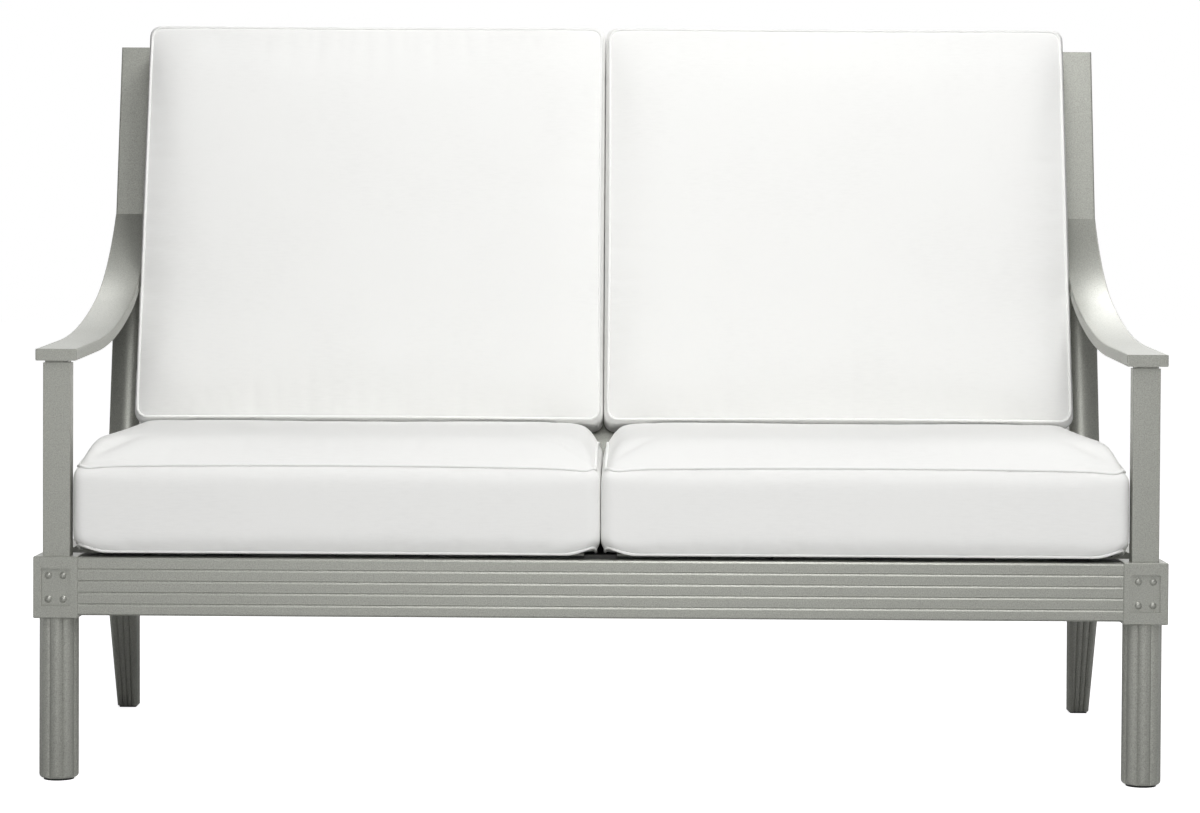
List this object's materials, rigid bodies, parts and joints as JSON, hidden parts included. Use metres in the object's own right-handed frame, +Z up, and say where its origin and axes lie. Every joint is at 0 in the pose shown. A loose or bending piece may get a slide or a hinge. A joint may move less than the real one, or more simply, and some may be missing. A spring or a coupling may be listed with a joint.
{
  "type": "patio loveseat",
  "caption": "Patio loveseat: painted aluminium frame on reeded legs, arms that sweep up to leaning back posts, slatted deck and back, and loose welted box cushions that lift out.",
  "frame": {"origin": "on the floor, in the middle of the footprint's box", "axes": "+Z up, +X to the right as seen from in front, +Y towards the back; the seat faces -Y"},
  "size_m": [1.575, 0.79, 1.097],
  "materials": {
    "frame_paint": "satin",
    "deck_paint": "satin",
    "glide_plastic": "matte",
    "cushion_fabric": "matte"
  },
  "bodies": {
    "frame": {"arm_left": "frame_paint", "arm_plug_left": "frame_paint", "arm_plug_right": "frame_paint", "arm_post_left": "frame_paint", "arm_post_right": "frame_paint", "arm_right": "frame_paint", "back_lower_rail": "frame_paint", "back_post_left": "frame_paint", "back_post_right": "frame_paint", "back_slat_1": "deck_paint", "back_slat_2": "deck_paint", "back_slat_3": "deck_paint", "back_slat_4": "deck_paint", "back_slat_5": "deck_paint", "back_slat_6": "deck_paint", "back_slat_7": "deck_paint", "back_slat_8": "deck_paint", "back_slat_9": "deck_paint", "back_top_rail": "frame_paint", "front_corner_block_left": "frame_paint", "front_corner_block_right": "frame_paint", "front_corner_studs_left": "frame_paint", "front_corner_studs_right": "frame_paint", "front_glide_left": "glide_plastic", "front_glide_right": "glide_plastic", "front_ledge": "deck_paint", "front_leg_left": "frame_paint", "front_leg_right": "frame_paint", "front_rail": "frame_paint", "rear_corner_block_left": "frame_paint", "rear_corner_block_right": "frame_paint", "rear_corner_studs_left": "frame_paint", "rear_corner_studs_right": "frame_paint", "rear_glide_left": "glide_plastic", "rear_glide_right": "glide_plastic", "rear_ledge": "deck_paint", "rear_leg_left": "frame_paint", "rear_leg_right": "frame_paint", "rear_rail": "frame_paint", "seat_cross_bar": "deck_paint", "seat_slat_1": "deck_paint", "seat_slat_10": "deck_paint", "seat_slat_11": "deck_paint", "seat_slat_2": "deck_paint", "seat_slat_3": "deck_paint", "seat_slat_4": "deck_paint", "seat_slat_5": "deck_paint", "seat_slat_6": "deck_paint", "seat_slat_7": "deck_paint", "seat_slat_8": "deck_paint", "seat_slat_9": "deck_paint", "side_rail_left": "frame_paint", "side_rail_right": "frame_paint"},
    "seat_cushion_left": {"seat_cushion_left": "cushion_fabric"},
    "back_cushion_left": {"back_cushion_left": "cushion_fabric"},
    "seat_cushion_right": {"seat_cushion_right": "cushion_fabric"},
    "back_cushion_right": {"back_cushion_right": "cushion_fabric"}
  },
  "joints": [
    {"name": "seat_cushion_left_pull", "type": "slide", "parent": "frame", "child": "seat_cushion_left", "axis": [0, -1, 0], "range_m": [0, 0.63]},
    {"name": "back_cushion_left_lift", "type": "slide", "parent": "frame", "child": "back_cushion_left", "axis": [0, 0.2028, 0.9792], "range_m": [0, 0.68]},
    {"name": "seat_cushion_right_pull", "type": "slide", "parent": "frame", "child": "seat_cushion_right", "axis": [0, -1, 0], "range_m": [0, 0.63]},
    {"name": "back_cushion_right_lift", "type": "slide", "parent": "frame", "child": "back_cushion_right", "axis": [0, 0.2028, 0.9792], "range_m": [0, 0.68]}
  ]
}
